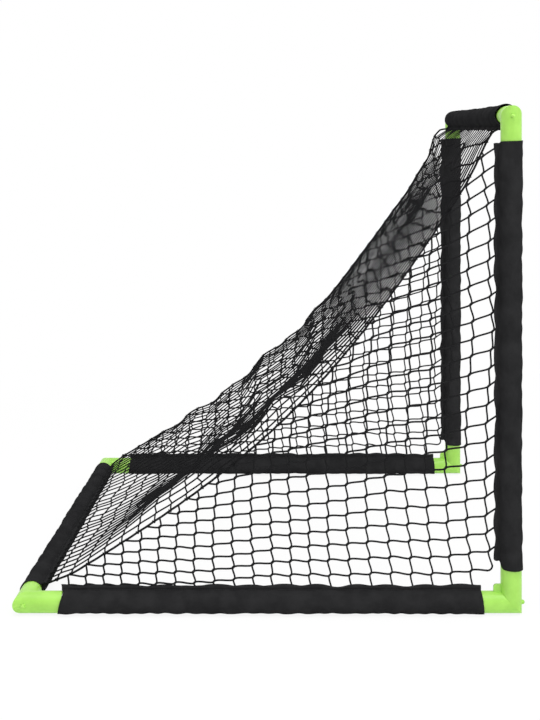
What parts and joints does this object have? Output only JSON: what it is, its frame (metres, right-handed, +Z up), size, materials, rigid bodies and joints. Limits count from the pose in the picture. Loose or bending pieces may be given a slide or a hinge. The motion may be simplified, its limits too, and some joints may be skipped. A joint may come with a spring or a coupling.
{
  "type": "hockey goal net",
  "caption": "Portable street or ice hockey goal: a light tube frame with push-on corner fittings, fabric sleeves over the tubes and a slack net behind the open front.",
  "frame": {"origin": "on the floor, under the middle of the goal's bounding box", "axes": "+X out of the open front, +Y to the goal's right side seen from the front, +Z up"},
  "size_m": [0.615, 0.6172, 0.6123],
  "materials": {
    "fittings": "smooth moulded lime green plastic",
    "tubes": "plain drawn pipe, hidden by the sleeves",
    "sleeves": "black woven polyester, slightly shiny",
    "net": "black twisted twine"
  },
  "bodies": {
    "root": {"left_top_elbow": "fittings", "right_top_elbow": "fittings", "left_front_elbow": "fittings", "right_front_elbow": "fittings", "left_rear_elbow": "fittings", "right_rear_elbow": "fittings", "crossbar_tube": "tubes", "left_post_tube": "tubes", "right_post_tube": "tubes", "left_base_tube": "tubes", "right_base_tube": "tubes", "rear_bar_tube": "tubes", "crossbar_sleeve": "sleeves", "left_post_sleeve": "sleeves", "right_post_sleeve": "sleeves", "left_base_sleeve": "sleeves", "right_base_sleeve": "sleeves", "rear_bar_sleeve": "sleeves", "left_side_net": "net", "right_side_net": "net", "back_net": "net", "left_seam_cord": "net", "right_seam_cord": "net"}
  },
  "joints": []
}
